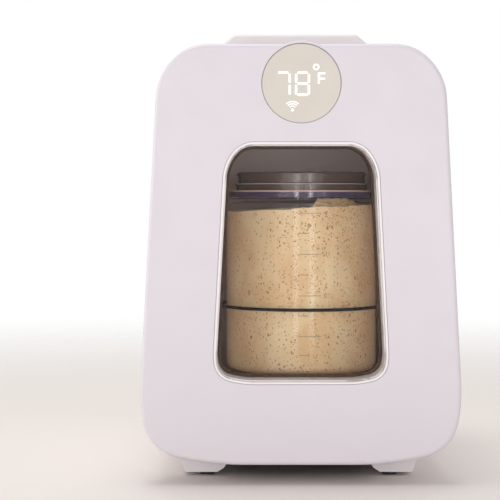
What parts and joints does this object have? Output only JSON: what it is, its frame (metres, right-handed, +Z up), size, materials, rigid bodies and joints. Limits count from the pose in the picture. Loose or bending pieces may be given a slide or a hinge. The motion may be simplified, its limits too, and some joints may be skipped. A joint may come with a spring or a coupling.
{
  "type": "sourdough starter warmer",
  "caption": "Countertop box that keeps a jar of sourdough starter at a set temperature, with a glazed hinged door, a round display button, a carrying handle and a heating and cooling unit.",
  "frame": {"origin": "middle of the footprint on the table", "axes": "+X to the viewer's right, -Y out of the door, +Z up"},
  "size_m": [0.2104, 0.23, 0.305],
  "materials": {
    "casing_white": "satin fine texture",
    "door_white": "satin",
    "inner_door_white": "satin",
    "bezel_white": "gloss",
    "foot_rubber": "matte",
    "seal_rubber": "matte",
    "pane_seal_rubber": "matte",
    "band_rubber": "satin",
    "lid_seal_silicone": "satin",
    "screw_steel": "satin",
    "hinge_steel": "satin",
    "magnet_nickel": "polished",
    "liner_grey": "satin",
    "foam_cream": "matte",
    "rack_chrome": "polished",
    "sink_aluminium": "satin",
    "module_ceramic": "matte",
    "fan_black": "satin",
    "board_green": "satin",
    "inlet_black": "satin",
    "led_black": "matte",
    "probe_steel": "satin",
    "display_beige": "satin translucent",
    "window_glass": "gloss",
    "jar_glass": "gloss",
    "starter": "matte, bubbly",
    "lid_plastic": "gloss translucent"
  },
  "bodies": {
    "housing": {"outer_shell": "casing_white", "front_frame": "casing_white", "base_plinth": "casing_white", "rubber_feet": "foot_rubber", "base_screws": "screw_steel", "chamber_liner": "liner_grey", "insulation_foam": "foam_cream", "wire_rack": "rack_chrome", "cold_sink": "sink_aluminium", "peltier_module": "module_ceramic", "hot_heatsink": "sink_aluminium", "clamp_screws": "screw_steel", "fan_frame": "fan_black", "fan_screws": "screw_steel", "rear_cover": "casing_white", "rear_cover_screws": "screw_steel", "power_board": "board_green", "dc_inlet": "inlet_black", "temperature_probe": "probe_steel", "carry_handle": "casing_white", "handle_screws": "screw_steel", "hinge_brackets": "hinge_steel", "hinge_bracket_screws": "screw_steel", "strike_plates": "hinge_steel"},
    "fan": {"fan_rotor": "fan_black"},
    "door": {"door_outer_panel": "door_white", "door_inner_panel": "inner_door_white", "door_insulation": "foam_cream", "window_bezel": "bezel_white", "outer_window_pane": "window_glass", "inner_window_pane": "window_glass", "pane_seal": "pane_seal_rubber", "door_gasket": "seal_rubber", "hinge_pins": "hinge_steel", "door_magnets": "magnet_nickel", "door_screws": "screw_steel", "display_board": "board_green", "led_module": "led_black", "tactile_switch": "inlet_black"},
    "display_button": {"display_lens": "display_beige", "switch_stem": "led_black"},
    "jar": {"jar_glass": "jar_glass", "starter_dough": "starter", "jar_band": "band_rubber"},
    "lid": {"jar_lid": "lid_plastic", "lid_seal": "lid_seal_silicone"}
  },
  "joints": [
    {"name": "door_hinge", "type": "hinge", "parent": "housing", "child": "door", "pos_m": [-0.087, -0.103, 0.145], "axis": [0, 0, -1], "range_deg": [0, 95]},
    {"name": "display_press", "type": "slide", "parent": "door", "child": "display_button", "axis": [0, 1, 0], "range_m": [0, 0.0008], "stiffness_N_per_m": 600},
    {"name": "fan_spin", "type": "hinge", "parent": "housing", "child": "fan", "pos_m": [0, 0.1, 0.14], "axis": [0, 1, 0], "continuous": true},
    {"name": "jar_lift", "type": "slide", "parent": "housing", "child": "jar", "axis": [0, 0, 1], "range_m": [0, 0.008]},
    {"name": "lid_lift", "type": "slide", "parent": "jar", "child": "lid", "axis": [0, 0, 1], "range_m": [0, 0.01]}
  ]
}
